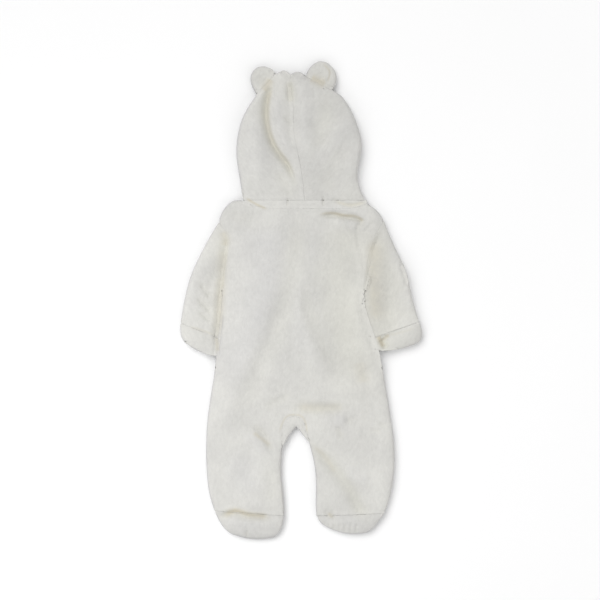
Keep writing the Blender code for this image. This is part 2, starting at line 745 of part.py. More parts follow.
def centre_on_floor():
    """Puts the middle of the whole suit over the origin, with its lowest face at z = 0."""
    bpy.context.view_layer.update()
    corners = np.array([
        item.matrix_world @ vertex.co for item in bpy.data.objects for vertex in item.data.vertices
    ])
    low, high = corners.min(axis=0), corners.max(axis=0)
    shift = np.array([(low[0] + high[0]) / 2, (low[1] + high[1]) / 2, low[2]])
    for item in bpy.data.objects:
        for vertex in item.data.vertices:
            vertex.co = [value - move for value, move in zip(vertex.co, shift)]


def main():
    for item in list(bpy.data.objects):
        bpy.data.objects.remove(item, do_unlink=True)
    make_back()
    make_front("front_left", LEFT_SIDE, LEFT_INSIDE, upper_lap=True)
    make_front("front_right", RIGHT_SIDE, RIGHT_INSIDE, upper_lap=False)
    make_poppers()
    make_sleeve("left", LEFT_SIDE[ARMHOLE], LEFT_SLEEVE, LEFT_CUFF, LEFT_STRIP, LEFT_SLEEVE_FOLDS)
    make_sleeve("right", RIGHT_SIDE[ARMHOLE], RIGHT_SLEEVE, RIGHT_CUFF, RIGHT_STRIP,
                RIGHT_SLEEVE_FOLDS)
    make_hood("left", LEFT_HOOD)
    make_hood("right", RIGHT_HOOD)
    make_neck_band()
    make_gusset()
    make_foot("left", LEFT_FOOT)
    make_foot("right", RIGHT_FOOT)
    make_ear("left", LEFT_EAR)
    make_ear("right", RIGHT_EAR)
    centre_on_floor()


main()
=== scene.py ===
import math

import bmesh
import bpy
import numpy as np
from mathutils import Matrix, Vector
from mathutils.bvhtree import BVHTree


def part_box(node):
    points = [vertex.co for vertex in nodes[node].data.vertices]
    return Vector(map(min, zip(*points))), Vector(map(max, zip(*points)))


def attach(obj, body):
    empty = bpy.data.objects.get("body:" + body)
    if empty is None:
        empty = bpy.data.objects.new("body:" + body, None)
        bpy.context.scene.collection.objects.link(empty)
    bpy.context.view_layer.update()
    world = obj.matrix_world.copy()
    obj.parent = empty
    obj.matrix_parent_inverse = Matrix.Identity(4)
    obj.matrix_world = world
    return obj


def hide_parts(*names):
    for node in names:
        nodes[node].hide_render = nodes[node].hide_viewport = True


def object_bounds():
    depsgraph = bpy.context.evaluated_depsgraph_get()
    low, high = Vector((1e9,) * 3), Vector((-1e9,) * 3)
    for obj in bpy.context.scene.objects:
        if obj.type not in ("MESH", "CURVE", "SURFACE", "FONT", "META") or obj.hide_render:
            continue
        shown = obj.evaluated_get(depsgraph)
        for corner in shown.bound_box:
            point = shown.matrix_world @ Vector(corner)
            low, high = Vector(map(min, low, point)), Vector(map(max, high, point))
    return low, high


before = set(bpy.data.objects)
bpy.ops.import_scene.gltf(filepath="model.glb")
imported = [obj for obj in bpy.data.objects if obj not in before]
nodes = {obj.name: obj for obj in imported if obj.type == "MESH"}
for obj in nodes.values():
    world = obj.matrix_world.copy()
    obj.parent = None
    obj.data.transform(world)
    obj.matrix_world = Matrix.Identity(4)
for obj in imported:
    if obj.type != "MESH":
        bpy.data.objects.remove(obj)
cadLow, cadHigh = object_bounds()
mm = 0.001
print("frame loaded:", len(nodes), "nodes")


# A fold's path is in mm on the lying suit, and so is its height (a trough is negative). left and
# right are how far it reaches on each side when walking along its path, and fade is the share of
# the path over which it starts and ends.

def fold(path, height, left, right=None, fade=(0.2, 0.2)):
    return {"path": path, "height": height, "left": left, "right": right or left, "fade": fade}


hoodFolds = {
    "deepOverlap": fold([(-53, 384), (-60, 366), (-63, 346), (-63, 331), (-61, 317), (-58, 302),
                         (-53, 288), (-46, 274), (-36, 259), (-25, 245), (-18, 230), (-11, 210)],
                        -7.2, 3.6, 7.5, (0.08, 0.25)),
    "lobeEdge": fold([(-42, 368), (-45, 335), (-41, 308), (-31, 284), (-14, 258)], 3.0, 10, 5,
                     (0.3, 0.4)),
    "crownPit": fold([(-20, 392), (-18, 374), (-19, 356)], -4.4, 6, 7, (0.3, 0.3)),
    "seamNick": fold([(-29, 330), (-17, 314)], -2.2, 4, 4, (0.4, 0.2)),
    "seamRidge": fold([(3, 392), (6, 345), (4, 300), (8, 258)], 3.6, 16, 11, (0.2, 0.4)),
    "rightTrough": fold([(46, 362), (44, 331), (37, 312), (37, 288), (30, 270)], -2.2, 14, 14,
                        (0.3, 0.3)),
    "rightSweep": fold([(88, 280), (70, 256), (54, 226), (44, 196)], -1.5, 12, 12, (0.35, 0.2)),
    "rightRidge": fold([(97, 320), (70, 298), (42, 270), (16, 246)], 2.4, 14, 12, (0.3, 0.3)),
    "rightBulge": fold([(76, 330), (92, 285), (84, 225)], 2.4, 22, 22, (0.3, 0.3)),
    "leftBulge": fold([(-84, 335), (-86, 275), (-76, 215)], 2.2, 24, 22, (0.3, 0.3)),
    "napeSpot": fold([(58, 184), (66, 175)], -1.4, 5, 5, (0.3, 0.3)),
    "napeHollow": fold([(-42, 232), (-26, 205), (-20, 186)], -2.4, 10, 9, (0.3, 0.2)),
}
neckFolds = {
    "tickLeft": fold([(-24, 184), (-24.5, 168)], -2.2, 2.2, 2.2, (0.3, 0.3)),
    "tickRight": fold([(39.5, 187), (40, 168)], -2.0, 2.2, 2.2, (0.25, 0.3)),
    "bandTurn": fold([(62, 179), (87, 171), (116, 176)], -3.0, 4, 4, (0.3, 0.3)),
}
shoulderFolds = {
    "shoulderCrease": fold([(36, 151), (53, 153), (64, 153), (75, 149.5), (86, 149), (97, 147),
                            (111, 142)], -5.4, 3.2, 3.4, (0.3, 0.06)),
    "shoulderPit": fold([(107, 144), (113, 138)], -2.6, 5, 5, (0.2, 0.2)),
    "shoulderDrop": fold([(111, 142), (101, 131), (102, 110), (108, 84), (113, 52)], -3.0, 11, 4,
                         (0.08, 0.5)),
    "shoulderLip": fold([(40, 164), (64, 164), (92, 160), (118, 152)], 3.0, 7, 5, (0.3, 0.2)),
    "shoulderRoll": fold([(60, 142), (88, 138), (96, 126)], 2.6, 7, 9, (0.3, 0.4)),
    "armWrinkle": fold([(112, 122), (130, 141)], -2.0, 3.4, 3.4, (0.3, 0.3)),
    "leftYoke": fold([(-128, 158), (-108, 148), (-84, 146)], -1.6, 8, 8, (0.3, 0.5)),
}
bodyFolds = {
    "leftCrest": fold([(-54, 132), (-57, 60), (-62, 0), (-75, -60), (-98, -120), (-112, -170)],
                      5.6, 22, 46, (0.1, 0.3)),
    "longValley": fold([(-4, 136), (-10, 60), (-24, 10), (-44, -40), (-56, -75), (-74, -110),
                        (-90, -146), (-106, -198)], -3.2, 18, 15, (0.15, 0.3)),
    "middleCrest": fold([(14, 128), (14, 86), (2, 52), (-2, 20), (0, -10), (12, -60), (26, -120)],
                        3.6, 20, 20, (0.2, 0.3)),
    "rightValley": fold([(78, 132), (80, 90), (74, 55), (72, 25), (72, -5), (78, -35),
                         (84, -80), (92, -118), (98, -150)], -4.4, 40, 34, (0.1, 0.25)),
    "seatLine": fold([(4, 36), (9, -8), (26, -55), (52, -104), (68, -132)], -3.2, 16, 12,
                     (0.3, 0.3)),
    "seatTrough": fold([(-10, -194), (30, -195), (78, -194)], -4.4, 9, 8, (0.3, 0.3)),
    "hipRise": fold([(-100, 10), (-106, -60), (-100, -130)], 2.2, 30, 30, (0.3, 0.3)),
    "seatArc": fold([(-66, -192), (-40, -180), (-22, -171)], -2.4, 6, 7, (0.3, 0.3)),
    "seatBump": fold([(58, -213), (80, -214)], 3.4, 13, 14, (0.3, 0.3)),
    "hipDimple": fold([(84, -212), (92, -220)], -2.4, 7, 7, (0.3, 0.3)),
    "hipNick": fold([(65, -226), (74, -250)], -2.8, 4, 5, (0.3, 0.4)),
    "sideHollow": fold([(112, -120), (124, -156)], -2.4, 8, 8, (0.4, 0.4)),
    "thighCrease": fold([(-86, -226), (-66, -245), (-52, -271)], -3.6, 5, 5, (0.25, 0.3)),
    "thighRoll": fold([(-96, -240), (-78, -256), (-64, -280)], 2.6, 9, 12, (0.3, 0.4)),
    "legValley": fold([(26, -268), (48, -290), (70, -315), (89, -342), (102, -370), (118, -387)],
                      -5.6, 9, 10, (0.2, 0.2)),
    "kneeRidge": fold([(74, -312), (96, -318), (122, -324)], 3.4, 14, 12, (0.3, 0.3)),
    "calfRidge": fold([(-132, -290), (-100, -312), (-88, -352)], 3.0, 26, 26, (0.3, 0.3)),
    "shinHollow": fold([(-60, -300), (-52, -336), (-62, -366)], -2.0, 12, 12, (0.3, 0.3)),
    "wrinkleLow": fold([(124, -232), (142, -238)], -1.8, 4, 4, (0.3, 0.3)),
    "wrinkleHigh": fold([(140, -222), (156, -228)], -1.8, 4, 4, (0.3, 0.3)),
}
leftSleeveFolds = {
    "tuck": fold([(-134, 112), (-136, 84), (-138, 50), (-140, 10), (-143, -30), (-148, -75)],
                 -4.6, 4, 12, (0.12, 0.1)),
    "outerBand": fold([(-176, 84), (-196, 30), (-204, -30)], 3.0, 18, 18),
    "wrinkleHigh": fold([(-182, 30), (-164, 6)], -2.4, 5, 5, (0.4, 0.2)),
    "wrinkleMiddle": fold([(-188, 6), (-162, -22)], -2.8, 5, 5, (0.4, 0.2)),
    "wrinkleLow": fold([(-184, -22), (-162, -38)], -2.2, 4, 4, (0.4, 0.2)),
    "cuffTuck": fold([(-152, -62), (-150, -98)], -3.0, 5, 6, (0.3, 0.3)),
}
rightSleeveFolds = {
    "tuck": fold([(123, 66), (125, 40), (126, 10), (128, -10), (132, -30), (138, -50),
                  (144, -72)], -2.4, 24, 12, (0.12, 0.08)),
    "middleTuck": fold([(128, 124), (140, 102), (148, 78), (150, 60), (158, 42), (166, 24),
                        (163, 6), (160, -27), (164, -64)], -2.4, 12, 18, (0.15, 0.15)),
    "outerBand": fold([(170, 96), (190, 40), (203, -20)], 3.0, 14, 16),
    "wrinkleHigh": fold([(144, 26), (160, 16)], -2.0, 4, 4, (0.3, 0.3)),
    "wrinkleMiddle": fold([(146, 10), (160, 0)], -2.0, 4, 4, (0.3, 0.3)),
    "wrinkleLow": fold([(166, -12), (186, -30)], -1.6, 5, 5, (0.3, 0.3)),
    "pocket": fold([(144, -70), (152, -87)], -6.5, 8, 6, (0.3, 0.2)),
    "pocketTurn": fold([(144, -72), (157, -64)], -4.4, 5, 5, (0.2, 0.4)),
}
footFolds = {
    "leftAnkle": fold([(-146, -392), (-134, -384), (-118, -383), (-104, -387), (-89, -389),
                       (-75, -389), (-57, -393)], -4.8, 5, 6, (0.25, 0.2)),
    "leftInstep": fold([(-132, -399), (-100, -403), (-66, -407)], 2.4, 11, 12, (0.3, 0.3)),
    "leftGather": fold([(-98, -412), (-98, -427)], -2.2, 3, 3, (0.5, 0.1)),
    "rightStar": fold([(50, -384), (56, -391)], -2.6, 5, 5, (0.3, 0.3)),
    "rightPuckerA": fold([(43, -378), (48, -392)], -1.8, 3, 3, (0.3, 0.3)),
    "rightPuckerB": fold([(54, -376), (60, -396)], -1.8, 3, 3, (0.3, 0.3)),
    "rightInstep": fold([(64, -396), (104, -402)], 2.0, 11, 11, (0.3, 0.3)),
}
puckerCount, puckerStep = 7, 10
for number in range(puckerCount):  # along the right toe's seam, uneven in length
    x = 38 + puckerStep * number
    reach = 8 + 3 * ((number * 5) % 3)
    footFolds[f"toePucker{number}"] = fold([(x, -402 - 1.6 * number - reach), (x + 2, -400)],
                                           -1.5, 2.6, 2.6, (0.1, 0.5))
earFolds = {
    "rightEarLine": fold([(50, 424), (53, 405), (46, 390)], -1.6, 2.6, 2.6, (0.3, 0.3)),
    "rightEarDish": fold([(34, 410), (40, 398)], -1.6, 10, 10, (0.3, 0.3)),
    "leftEarDish": fold([(-74, 404), (-66, 392)], -1.6, 9, 9, (0.3, 0.3)),
}
underFolds = {  # the hidden front: the same kinds of fold, pressed into the side it lies on
    "leftChest": fold([(-70, 120), (-86, 40), (-80, -40)], 1.6, 8, 8),
    "rightChest": fold([(64, 110), (72, 20), (60, -50)], 1.4, 9, 9),
    "leftGroin": fold([(-110, -170), (-74, -200), (-52, -236)], 1.8, 6, 6),
    "rightGroin": fold([(108, -168), (72, -206), (46, -240)], 1.8, 6, 6),
    "leftShin": fold([(-120, -290), (-96, -330), (-84, -362)], 1.4, 8, 8),
    "rightShin": fold([(60, -290), (84, -330), (96, -366)], 1.5, 7, 7),
}
creaseShadePaths = {  # painted shade: a darker, warmer tint laid along creases and hollows where shade falls: path, strength, reach
    "leftEarBase": fold([(-68, 376), (-60, 388), (-55, 398)], 0.6, 7),
    "rightEarBase": fold([(17, 400), (30, 394), (44, 388)], 0.7, 8),
    "rightEarLine": fold([(40, 425), (51, 411), (47, 392)], 0.5, 1.6),
    "crownPit": fold([(-22, 394), (-20, 378), (-18, 356)], 0.15, 6),
    "hoodValley": fold([(-55, 380), (-60, 346), (-59, 317), (-52, 290), (-41, 269), (-24, 247),
                        (-14, 226)], 0.45, 4, 7, (0.1, 0.3)),
    "neckLeft": fold([(-99, 183), (-80, 172), (-62, 164)], 0.7, 2.2),
    "neckRight": fold([(60, 178), (88, 171), (116, 176)], 0.3, 3),
    "shoulder": fold([(34, 155), (56, 157), (75, 153), (97, 151), (112, 143)], 0.8, 2.4, 2.4,
                     (0.2, 0.05)),
    "leftArmhole": fold([(-142, 124), (-136, 110), (-138, 97)], 0.35, 8),
    "leftSleeve": fold([(-138, 96), (-139, 60), (-142, 10), (-145, -30), (-151, -72)], 0.35,
                       7, 12),
    "rightSleeve": fold([(128, 112), (130, 66), (130, 30), (134, -40)], 0.4, 18, 12),
    "rightPocket": fold([(138, -64), (148, -84)], 0.9, 4),
    "rightPocketTurn": fold([(142, -74), (159, -62)], 0.6, 3),
    "leftHem": fold([(-200, -48), (-176, -55), (-154, -63)], 0.35, 2),
    "rightHem": fold([(158, -63), (180, -58), (204, -50)], 0.2, 2),
    "leftCuffEnd": fold([(-152, -66), (-149, -92)], 0.6, 4),
    "gussetSeam": fold([(-40, -238), (-29, -212), (-13, -206), (4, -212), (12, -240)], 0.5, 1.6),
    "seat": fold([(-6, -193), (30, -194), (76, -193)], 0.25, 8),
    "seatSide": fold([(104, -110), (112, -150)], 0.25, 12),
    "thigh": fold([(-86, -238), (-70, -250), (-56, -262)], 0.6, 3),
    "leftAnkle": fold([(-140, -388), (-118, -379), (-92, -386), (-60, -389)], 0.8, 5),
    "rightAnkle": fold([(48, -383), (57, -391)], 0.6, 3),
    "rightLeg": fold([(22, -262), (44, -284), (62, -312)], 0.3, 4),
}
lightShadePatches = {  # painted light and shade: patches painted paler where the share is above 0 and darker where it is below: path, share, reach
    "leftBack": fold([(-106, 15), (-100, -60), (-90, -150)], 0.04, 38),
    "flank": fold([(70, 0), (82, -76)], -0.035, 20),
    "hipCentre": fold([(56, -146), (66, -154)], -0.03, 14),
    "lobe": fold([(-50, 326), (-34, 262)], 0.06, 9),
    "middleBack": fold([(-60, -105), (-48, -150)], 0.03, 20),
    "rightEdge": fold([(104, 110), (109, 40), (111, -10), (127, -60), (140, -110)], 0.06, 8),
    "rightHip": fold([(138, -160), (146, -280), (134, -385)], 0.045, 16),
    "leftShin": fold([(-84, -270), (-76, -375)], 0.035, 28),
    "hoodSide": fold([(-80, 335), (-84, 225)], 0.055, 14),
    "hoodBack": fold([(40, 285), (70, 230)], 0.025, 26),
    "rightWrist": fold([(176, -34), (200, -56)], 0.06, 18),
    "leftYoke": fold([(-108, 160), (-68, 150)], -0.04, 13),
    "rightYoke": fold([(64, 142), (88, 136)], -0.045, 9),
    "spineHigh": fold([(8, 116), (18, 70), (22, 28)], -0.05, 22),
    "spineRight": fold([(32, -16), (46, -60), (62, -146)], -0.05, 24),
    "spineLow": fold([(-12, -84), (-16, -134)], -0.025, 14),
    "leftArmTop": fold([(-168, 112), (-146, 126), (-130, 98)], -0.045, 10),
    "leftForearm": fold([(-158, 16), (-161, -14)], -0.08, 10),
    "rightForearm": fold([(142, 104), (150, 44), (148, -24)], -0.045, 9),
    "lobeTop": fold([(-48, 402), (-46, 348)], -0.045, 7),
    "lobeSide": fold([(-32, 306), (-8, 268)], -0.035, 9),
    "hoodRight": fold([(40, 372), (52, 316)], -0.03, 12),
    "leftToe": fold([(-140, -418), (-100, -432), (-62, -432)], -0.06, 9),
}


foldForm = {
    "sight": 2.6,  # past this many widths a fold adds nothing
    "begun": 0.25,  # how far into its fade a path starts and ends
    "fullHeight": 7,  # mm: the height at which a fold's painted shade tone is full
    "toneSpread": 0.6,  # below 1 the painted tone reaches wider than the height
}
noise = {
    "lattice": 256,  # cells before it repeats
    "shift": 1000.0,  # cells, so that none is negative
    "cloth": [(34, 3, 1.0), (15, 5, 0.6)],  # size of the lumps in mm, seed, weight
    "tufts": [(4.6, 7, 1.0), (2.4, 9, 0.7)],
}


def smoothPath(points, step=3.0):  # a rounded path through the points
    points = np.asarray(points, float)
    if len(points) < 3:
        return points
    ends = np.vstack([2 * points[0] - points[1], points, 2 * points[-1] - points[-2]])
    made = []
    for a, b, c, d in zip(ends[:-3], ends[1:-2], ends[2:-1], ends[3:]):
        count = max(2, int(np.linalg.norm(c - b) / step))
        t = np.linspace(0, 1, count, endpoint=False)[:, None]
        made.append(0.5 * (2 * b + (c - a) * t + (2 * a - 5 * b + 4 * c - d) * t**2
                           + (3 * b - a - 3 * c + d) * t**3))
    return np.vstack([*made, points[-1:]])


def softStep(value):
    value = np.clip(value, 0, 1)
    return value * value * (3 - 2 * value)


def foldShape(xy, item):  # the fold's share at each point, from 0 to 1
    path = smoothPath(item["path"])
    share = np.zeros(len(xy))
    reach = foldForm["sight"] * max(item["left"], item["right"])
    near = np.all((xy > path.min(axis=0) - reach) & (xy < path.max(axis=0) + reach), axis=1)
    if not near.any():
        return share
    points = xy[near][:, None]
    along = np.diff(path, axis=0)
    lengths = np.linalg.norm(along, axis=1)
    offset = points - path[:-1]
    t = np.clip((offset * along).sum(axis=2) / lengths**2, 0, 1)
    away = offset - t[..., None] * along
    distance = np.linalg.norm(away, axis=2)
    nearest = distance.argmin(axis=1)
    rows = np.arange(len(nearest))
    side = along[nearest, 0] * away[rows, nearest, 1] - along[nearest, 1] * away[rows, nearest, 0]
    width = np.where(side > 0, item["left"], item["right"])
    travel = (np.cumsum(lengths) - lengths)[nearest] + t[rows, nearest] * lengths[nearest]
    travel /= lengths.sum()
    start, end = item["fade"]
    begun = foldForm["begun"]
    strength = softStep(travel / start + begun) * softStep((1 - travel) / end + begun)
    share[near] = strength * np.exp(-(distance[rows, nearest] / width) ** 2)
    return share


def foldSum(xy, groups):  # height of all folds, and the reach of the troughs and the ridges, which place the painted shade and light
    height, hollow, ridge = np.zeros((3, len(xy)))
    for group in groups:
        for item in group.values():
            share = foldShape(xy, item)
            height += plush["foldShare"] * item["height"] * share
            reach = item["height"] / foldForm["fullHeight"] * share ** foldForm["toneSpread"]
            hollow, ridge = np.maximum(hollow, -reach), np.maximum(ridge, reach)
    return height, np.clip(hollow, 0, 1), np.clip(ridge, 0, 1)


def unevenness(xy, size, seed):  # smooth noise from -1 to 1, with lumps of the given size
    count = noise["lattice"]
    lattice = np.random.default_rng(seed).uniform(-1, 1, (count, count))
    place = xy / size + noise["shift"]
    cell = np.floor(place).astype(int)
    part = softStep(place - cell)
    x, y = cell[:, 0] % count, cell[:, 1] % count
    nextX, nextY = (x + 1) % count, (y + 1) % count
    low = lattice[x, y] * (1 - part[:, 0]) + lattice[nextX, y] * part[:, 0]
    high = lattice[x, nextY] * (1 - part[:, 0]) + lattice[nextX, nextY] * part[:, 0]
    return low * (1 - part[:, 1]) + high * part[:, 1]


def layered(xy, layers):
    return sum(weight * unevenness(xy, size, seed) for size, seed, weight in layers)


plush = {  # each plush piece is a thin shell on its solid's form
    "weld": 0.01,  # mm
    "rimAngle": 50,  # degrees past which an edge is a sewn rim and stays crisp
    "joinAngle": 40,  # degrees up to which triangles are joined
    "smoothAngle": 60,  # degrees up to which the finished faces are shaded smooth
    "levels": 2,  # of subdivision, for pieces with an upper face, and for the hidden ones
    "hiddenLevels": 1,
    "calmSteps": 14,  # smoothing passes that even out the solid's facets
    "calmShare": 0.5,
    "calmSlope": 0.8,  # the least upward part of a face's normal there
    "refineSteps": 5,
    "topSlope": 0.12,  # the same on the outer face
    "outerSlope": 0.05,  # the same for its vertices
    "fieldSlope": 0.3,  # the same for those that give the seams their height
    "lift": 0.4,  # mm above a vertex, where the search for cloth over it starts
    "search": 40,  # mm that it goes up
    "topFrom": 8.9,  # mm: the outer face of the upper layer lies above this
    "sleeveTopFrom": 5.8,
    "seamFrom": 11.0,  # mm: a crisp rim above this is sewn to the next piece
    "upright": 0.1,  # mm: a rim edge shorter than this from above is an upright corner
    "halfEdge": 6,  # mm: half of the longest rim edge, or more
    "looseFrom": 2.5,  # mm: a rim of the back this far from any other isn't sewn to it
    "looseMiddle": -45,  # mm: where the loose sides lie along the suit, and half their length
    "looseHalf": 75,
    "seamReach": 7.5,  # mm: how far from a seam the cloth is levelled, and over what it blends
    "seamBlend": 3.0,
    "seamFade": 3.0,  # mm from a seam over which the seam's own treatment fades
    "onSeam": 0.05,  # mm: a vertex this near a seam is on it
    "wallReach": 0.6,  # mm: a wall this near a seam is kept under the outer face
    "wallDrop": 0.9,  # mm: by this much
    "closeFrom": -10,  # mm along the suit: the loose sides close from here up to the armhole
    "closeLength": 37,
    "leftReach": 8.0,  # mm: reach and blend where a sleeve only lies against the back's side
    "leftBlend": 5.0,
    "rightReach": 20.0,
    "rightBlend": 14.0,
    "groove": 0.08,  # mm: depth of the groove that the pile leaves along a seam
    "grooveReach": 2.0,
    "lap": 0.85,  # mm: how far a sewn rim reaches into the next piece, and how far it dips
    "lapDrop": 0.05,
    "tuckUnder": 0.05,  # mm: how far it then ends under the next piece's face
    "near": 3,  # mm: pieces this near each other may be sewn
    "above": 60,  # mm: from here faces are looked for, down past the floor
    "searchDown": 70,
    "sameLayer": 4,  # mm: a face this near in height is of the same layer
    "fringe": 1.7,  # mm: how far the pile stands out round the outline
    "fieldCell": 3.2,  # mm
    "fieldMargin": 4,  # cells
    "fieldSteps": 700,
    "foldShare": 0.9,  # of the folds' stated heights
    "pileLump": 0.12,  # mm: height of the pile's small tufts
    "softLump": 0.3,  # mm: slow unevenness of the cloth
    "warmth": 0.4,  # how warm the pile looks where it is flat, from 0 to 1
}
faceForm = {  # each From is a part of the normal, and each Blend how much more makes it full
    "foldFrom": 0.25,  # upward part, for the folds and the soft lumps
    "foldBlend": 0.5,
    "fringeFrom": 0.35,  # sideways part, for the fringe
    "fringeBlend": 0.5,
    "rimShadeFrom": 0.1,  # upward part: the painted shade at the rim is full at its start and gone at its end
    "rimShadeBlend": 0.87,
    "shownFrom": -0.6,  # upward part: below it there is no fringe and there are no tufts
    "shownHeight": 0.4,  # mm: nor are there any lower than this
    "underTo": -0.9,  # upward part: below it, and lower than this, a face lies on the floor
    "underHeight": 1.0,  # mm
    "sideTufts": 0.35,  # height of the tufts on the sides, as a share of those on top
    "rimShadeMiddle": 0.75,  # the rim's painted shade where it faces along the suit
    "rimShadeLean": 0.65,  # how much deeper the painted shade is where the rim faces left (-x) than where it faces right
}
paintedLightTones = {"hollow": 0.4, "ridge": 0.22, "rim": 0.4}  # painted shade and light: what each adds to the warmth, or takes off, so hollows are painted warmer and ridges and rims cooler


def selectOnly(item):
    bpy.ops.object.select_all(action="DESELECT")
    item.select_set(True)
    bpy.context.view_layer.objects.active = item


def mergedCopy(solid, name):
    data = nodes[solid].data.copy()
    data.name = name
    item = bpy.data.objects.new(name, data)
    bpy.context.scene.collection.objects.link(item)
    mesh = bmesh.new()
    mesh.from_mesh(data)
    bmesh.ops.remove_doubles(mesh, verts=mesh.verts, dist=plush["weld"] * mm)
    bmesh.ops.join_triangles(
        mesh, faces=mesh.faces, angle_face_threshold=math.radians(plush["joinAngle"]),
        angle_shape_threshold=math.radians(plush["joinAngle"]))
    crease = mesh.edges.layers.float.new("crease_edge")
    rim = math.radians(plush["rimAngle"])
    for edge in mesh.edges:
        if edge.is_manifold and edge.calc_face_angle() > rim:
            edge[crease] = 1.0
    mesh.to_mesh(data)
    mesh.free()
    return item


def sewnEdges(item):  # the crisp rims of the upper layer, sewn to the next piece
    mesh = bmesh.new()
    mesh.from_mesh(item.data)
    found = []
    for edge in mesh.edges:
        high = min(v.co.z for v in edge.verts) > plush["seamFrom"] * mm
        if high and edge.is_manifold and edge.calc_face_angle() > math.radians(plush["rimAngle"]):
            ends = [v.co.xy / mm for v in edge.verts]
            if (ends[0] - ends[1]).length > plush["upright"]:
                found.append([tuple(end) for end in ends])
    mesh.free()
    return np.array(found).reshape(-1, 2, 2)


def subdivide(item, levels):
    rounder = item.modifiers.new("rounder", "SUBSURF")
    rounder.levels = levels
    rounder.render_levels = levels
    selectOnly(item)
    bpy.ops.object.modifier_apply(modifier=rounder.name)
    edges = item.data.attributes.get("crease_edge")
    if edges:
        item.data.attributes.remove(edges)


def onTop(face, item):  # an outer face of the upper layer
    high = face.calc_center_median().z > item["topFrom"] * mm
    return high and face.normal.z > plush["topSlope"]


def calm(item):  # evens the upper face between its edges
    mesh = bmesh.new()
    mesh.from_mesh(item.data)
    mesh.normal_update()
    flat = plush["calmSlope"]
    inside = [v for v in mesh.verts
              if all(onTop(face, item) and face.normal.z > flat for face in v.link_faces)]
    for _ in range(plush["calmSteps"]):
        bmesh.ops.smooth_vert(mesh, verts=inside, factor=plush["calmShare"], use_axis_z=True)
    mesh.to_mesh(item.data)
    mesh.free()


def refine(item, longest):  # cuts the upper face's edges until none is longer
    mesh = bmesh.new()
    mesh.from_mesh(item.data)
    for _ in range(plush["refineSteps"]):
        mesh.normal_update()
        edges = {edge for face in mesh.faces if onTop(face, item) for edge in face.edges
                 if edge.calc_length() > longest * mm}
        if not edges:
            break
        bmesh.ops.subdivide_edges(mesh, edges=list(edges), cuts=1, use_grid_fill=True)
    mesh.to_mesh(item.data)
    mesh.free()


def meshArrays(item):  # places in mm, and normals
    count = len(item.data.vertices)
    places, normals = np.empty(count * 3), np.empty(count * 3)
    item.data.vertices.foreach_get("co", places)
    item.data.vertices.foreach_get("normal", normals)
    return places.reshape(-1, 3) / mm, normals.reshape(-1, 3)


def setPlaces(item, places):
    item.data.vertices.foreach_set("co", (places * mm).ravel())
    item.data.update()


def outerVertices(item):  # those of the upper face, with none of the piece's own cloth above
    places, normals = meshArrays(item)
    tree = BVHTree.FromPolygons(places.tolist(), [f.vertices[:] for f in item.data.polygons])
    outer = (normals[:, 2] > plush["outerSlope"]) & (places[:, 2] > item["topFrom"])
    for index in np.flatnonzero(outer):
        start = places[index] + (0, 0, plush["lift"])
        outer[index] = tree.ray_cast(start.tolist(), (0, 0, 1), plush["search"])[0] is None
    return outer


def addAttribute(item, name, values):
    made = item.data.attributes.new(name, "FLOAT", "POINT")
    made.data.foreach_set("value", values.astype(np.float32))


def seamDistance(xy, seams, sight=14.0):  # up to sight, past which it isn't measured
    nearest = np.full(len(xy), float(sight))
    reach = sight + plush["halfEdge"]
    for start, end in seams:
        close = np.flatnonzero((np.abs(xy - (start + end) / 2) < reach).all(axis=1))
        if len(close):
            some, along = xy[close], end - start
            t = np.clip(((some - start) @ along) / (along @ along), 0, 1)[:, None]
            nearest[close] = np.minimum(
                nearest[close], np.linalg.norm(some - start - t * along, axis=1))
    return nearest


def levelField(batch, joins):  # heights of the upper face, carried smoothly over the seams
    cell, margin = plush["fieldCell"], plush["fieldMargin"]
    low, high = np.array(cadLow[:2]), np.array(cadHigh[:2])
    origin = low / mm - margin * cell
    size = np.ceil((high - low) / mm / cell + 2 * margin).astype(int)
    total, count = np.zeros(size), np.zeros(size)
    for item in batch:
        places, normals = meshArrays(item)
        top = outerOf[item.name] & (normals[:, 2] > plush["fieldSlope"])
        xy, z = places[top, :2], places[top, 2]
        far = np.ones(len(xy), bool)
        for edges, reach, _ in joins:
            far &= seamDistance(xy, edges, reach + 1) >= reach
        index = ((xy[far] - origin) / cell).astype(int)
        np.add.at(total, (index[:, 0], index[:, 1]), z[far])
        np.add.at(count, (index[:, 0], index[:, 1]), 1)
    known = count > 0
    field = np.where(known, total / np.maximum(count, 1), total.sum() / count.sum())
    for _ in range(plush["fieldSteps"]):
        around = (np.roll(field, 1, 0) + np.roll(field, -1, 0) + np.roll(field, 1, 1)
                  + np.roll(field, -1, 1)) / 4
        field = np.where(known, field, around)
    return field, origin, cell


def fieldHeight(xy, level):
    field, origin, cell = level
    place = (xy - origin) / cell - 0.5
    corner = np.floor(place).astype(int)
    x, y = corner[:, 0], corner[:, 1]
    partX, partY = (place - corner).T
    low = field[x, y] * (1 - partX) + field[x + 1, y] * partX
    high = field[x, y + 1] * (1 - partX) + field[x + 1, y + 1] * partX
    return low * (1 - partY) + high * partY


def fillBeside(item, border, row):  # a sleeve's upper face rises to meet the back's side
    places = meshArrays(item)[0]
    away = seamDistance(places[:, :2], border, row["reach"])
    lift = np.maximum(row["meet"] + row["rise"] * away - places[:, 2], 0)
    lift *= softStep((row["reach"] - away) / row["blend"]) * outerOf[item.name]
    places[:, 2] += lift
    setPlaces(item, places)


def sideways(normals):  # how far each normal leans, and its direction from above
    across = np.linalg.norm(normals[:, :2], axis=1)
    return across, normals[:, :2] / np.maximum(across, 1e-6)[:, None]


